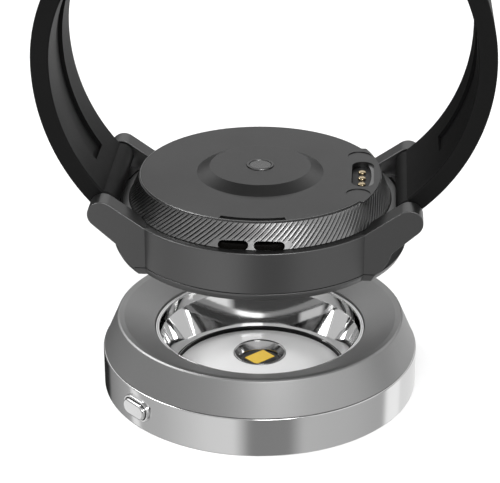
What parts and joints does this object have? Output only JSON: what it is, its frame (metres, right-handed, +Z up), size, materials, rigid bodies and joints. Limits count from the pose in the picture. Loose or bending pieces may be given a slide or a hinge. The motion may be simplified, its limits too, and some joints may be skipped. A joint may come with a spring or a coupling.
{
  "type": "sports watch with clip-on lamp",
  "caption": "Round sports watch held back upwards over its round clip-on lamp, with an open rubber strap, pin buckle, charging contacts and push buttons.",
  "frame": {"origin": "centre of the lamp's flat base, on the surface it stands on", "axes": "+Z up the common axis of lamp and watch, +X towards the charging contacts and the long strap half, -Y towards the loudspeaker slots"},
  "size_m": [0.0718, 0.053, 0.1031],
  "materials": {
    "polished_steel": "polished, mirror-like with broad soft bands",
    "satin_alloy": "fine bead-blasted satin",
    "bowl_chrome": "bright mirror plating",
    "button_chrome": "polished",
    "white_enamel": "smooth white, slight gloss",
    "led_yellow": "phosphor-filled silicone",
    "led_dark": "dark solder-mask disc",
    "led_ceramic": "white ceramic carrier",
    "board_green": "printed circuit board",
    "spreader_alloy": "turned alloy",
    "cell_wrap": "foil-wrapped cell",
    "magnet_nickel": "nickel plating",
    "pin_steel": "drawn and turned steel",
    "inner_plastic": "moulded black plastic",
    "case_coating": "fine bead-blasted dark grey coating",
    "knurl_coating": "dark grey coating, semi-gloss",
    "cover_resin": "matte moulded resin",
    "sensor_trim": "thin polished trim",
    "clear_glass": "clear, polished",
    "display_black": "black display, switched off",
    "seal_rubber": "moulded silicone",
    "contact_gold": "gold flash",
    "contact_black": "moulded black plastic",
    "shield_tin": "tinned sheet",
    "antenna_film": "printed copper on film",
    "strap_rubber": "matte moulded rubber with a silky surface",
    "buckle_coating": "satin dark grey coating"
  },
  "bodies": {
    "lamp": {"lamp_base_plate": "spreader_alloy", "lamp_base_screws": "pin_steel", "lamp_button_guide": "button_chrome", "lamp_button_switch": "inner_plastic", "lamp_cells": "cell_wrap", "lamp_floor": "white_enamel", "lamp_heat_spreader": "spreader_alloy", "lamp_led_base": "led_dark", "lamp_led_board": "board_green", "lamp_led_cup": "bowl_chrome", "lamp_led_package": "led_ceramic", "lamp_led_phosphor": "led_yellow", "lamp_magnets": "magnet_nickel", "lamp_mouth_ring": "bowl_chrome", "lamp_reflector": "bowl_chrome", "lamp_ring_board": "board_green", "lamp_top_ring": "satin_alloy", "lamp_tray": "inner_plastic", "lamp_wall": "polished_steel"},
    "lamp_button": {"lamp_button_cap": "button_chrome"},
    "watch": {"battery": "cell_wrap", "board_screws": "pin_steel", "board_shield": "shield_tin", "charging_contacts": "contact_gold", "charging_magnets": "magnet_nickel", "contact_carrier": "contact_black", "cover_glass": "clear_glass", "display_carrier": "inner_plastic", "display_panel": "display_black", "front_bezel": "case_coating", "glass_gasket": "seal_rubber", "gps_antenna": "antenna_film", "inner_case": "knurl_coating", "left_spring_bar": "pin_steel", "loudspeaker": "contact_black", "lower_switch": "inner_plastic", "lug_frame": "case_coating", "main_board": "board_green", "microphone": "contact_black", "rear_cover": "cover_resin", "rear_gasket": "seal_rubber", "right_spring_bar": "pin_steel", "sensor_board": "board_green", "sensor_ring": "sensor_trim", "sensor_window": "cover_resin", "speaker_mesh": "contact_black", "upper_switch": "inner_plastic", "vibration_motor": "shield_tin"},
    "upper_push": {"upper_button": "case_coating"},
    "lower_push": {"lower_button": "case_coating"},
    "short_strap": {"buckle_strap": "strap_rubber", "fixed_keeper": "strap_rubber", "buckle_pin": "buckle_coating"},
    "loose_keeper": {"sliding_keeper": "strap_rubber"},
    "buckle": {"buckle_frame": "buckle_coating"},
    "tongue": {"buckle_tongue": "buckle_coating"},
    "long_strap": {"tail_strap": "strap_rubber"}
  },
  "joints": [
    {"name": "watch_lift", "type": "slide", "parent": "lamp", "child": "watch", "axis": [0, 0, 1], "range_m": [-0.0134, 0.03]},
    {"name": "lamp_button_press", "type": "slide", "parent": "lamp", "child": "lamp_button", "axis": [0.7071, 0.7071, 0], "range_m": [0, 0.0005], "stiffness_N_per_m": 800, "springref_m": -0.0006},
    {"name": "upper_button_press", "type": "slide", "parent": "watch", "child": "upper_push", "axis": [-0.5, -0.866, 0], "range_m": [0, 0.0006], "stiffness_N_per_m": 800, "springref_m": -0.0006},
    {"name": "lower_button_press", "type": "slide", "parent": "watch", "child": "lower_push", "axis": [0.5, -0.866, 0], "range_m": [0, 0.0006], "stiffness_N_per_m": 800, "springref_m": -0.0006},
    {"name": "short_strap_hinge", "type": "hinge", "parent": "watch", "child": "short_strap", "pos_m": [-0.0242, 0, 0.03595], "axis": [0, -1, 0], "range_deg": [-6, 70]},
    {"name": "long_strap_hinge", "type": "hinge", "parent": "watch", "child": "long_strap", "pos_m": [0.0242, 0, 0.03595], "axis": [0, 1, 0], "range_deg": [-4, 70]},
    {"name": "buckle_hinge", "type": "hinge", "parent": "short_strap", "child": "buckle", "pos_m": [-0.01027, 0, 0.08491], "axis": [0, -1, 0], "range_deg": [-35, 60]},
    {"name": "tongue_hinge", "type": "hinge", "parent": "buckle", "child": "tongue", "pos_m": [-0.01027, 0, 0.08491], "axis": [0, -1, 0], "range_deg": [0, 60]},
    {"name": "keeper_slide", "type": "hinge", "parent": "short_strap", "child": "loose_keeper", "pos_m": [-0.00755, 0, 0.059], "axis": [0, 1, 0], "range_deg": [-36, 10]}
  ]
}
